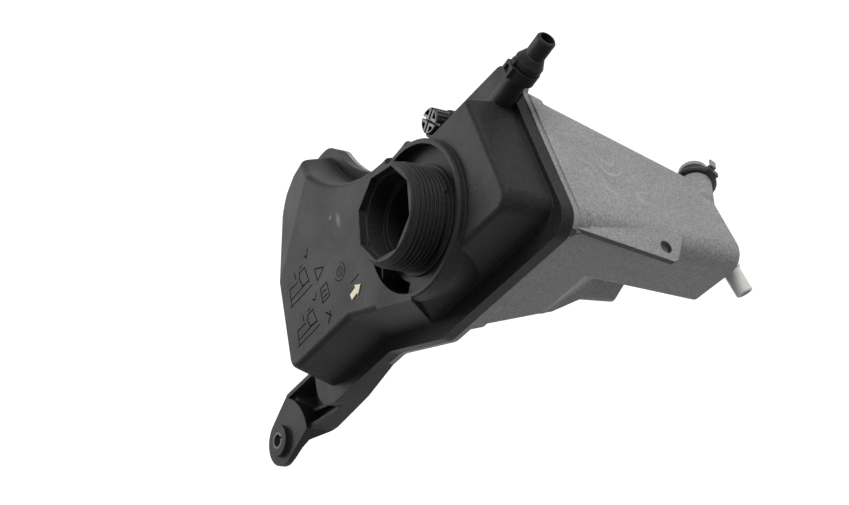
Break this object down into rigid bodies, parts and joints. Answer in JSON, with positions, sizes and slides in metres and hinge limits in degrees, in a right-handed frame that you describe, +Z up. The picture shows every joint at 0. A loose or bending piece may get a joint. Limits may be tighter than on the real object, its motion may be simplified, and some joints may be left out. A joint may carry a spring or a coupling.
{
  "type": "coolant expansion tank",
  "caption": "Welded plastic coolant expansion tank with threaded filler neck, mounting ear, bleed screw, vent and outlet spigots and float level sensor.",
  "frame": {"origin": "centre of the mounting ear's sleeve bore, level with the top of its boss", "axes": "+Z up along the filler neck's axis, +X along the tank from the ear towards the vent spigot, +Y towards the rear"},
  "size_m": [0.321, 0.1723, 0.1964],
  "materials": {
    "black_pa66_gf": "satin",
    "grey_pa66": "matte, grained",
    "zinc_steel": "zinc plated",
    "black_pom": "satin",
    "epdm": "matte",
    "spring_steel": "bright",
    "white_pbt": "satin",
    "tinned_brass": "tin plated",
    "glass_epoxy": "solder mask",
    "reed_glass": "clear",
    "float_pp": "matte",
    "ferrite": "sintered"
  },
  "bodies": {
    "tank": {"upper_shell": "black_pa66_gf", "lower_shell": "grey_pa66", "ear_sleeve": "zinc_steel", "outlet_lock_ring": "black_pom", "outlet_lock_spring": "spring_steel", "outlet_seal": "epdm", "level_sensor": "white_pbt", "sensor_seal": "epdm", "sensor_pin_a": "tinned_brass", "sensor_pin_b": "tinned_brass", "sensor_board": "glass_epoxy", "sensor_reed": "reed_glass", "float_stop": "float_pp"},
    "bleed_seal": {"bleed_screw_seal": "epdm"},
    "bleed_screw": {"bleed_screw": "black_pom"},
    "float": {"level_float": "float_pp", "float_magnet": "ferrite"}
  },
  "joints": [
    {"name": "bleed_screw_lift", "type": "slide", "parent": "tank", "child": "bleed_seal", "axis": [0, 0, 1], "range_m": [0, 0.003]},
    {"name": "bleed_screw_turn", "type": "hinge", "parent": "bleed_seal", "child": "bleed_screw", "pos_m": [0.222, 0.074, 0.0085], "axis": [0, 0, 1], "range_deg": [0, 720]},
    {"name": "float_slide", "type": "slide", "parent": "tank", "child": "float", "axis": [0, 0, 1], "range_m": [0, 0.0315]}
  ],
  "couplings": [
    {"joint": "bleed_screw_turn", "follows": "bleed_screw_lift", "rad_per_m": 4188.8}
  ]
}
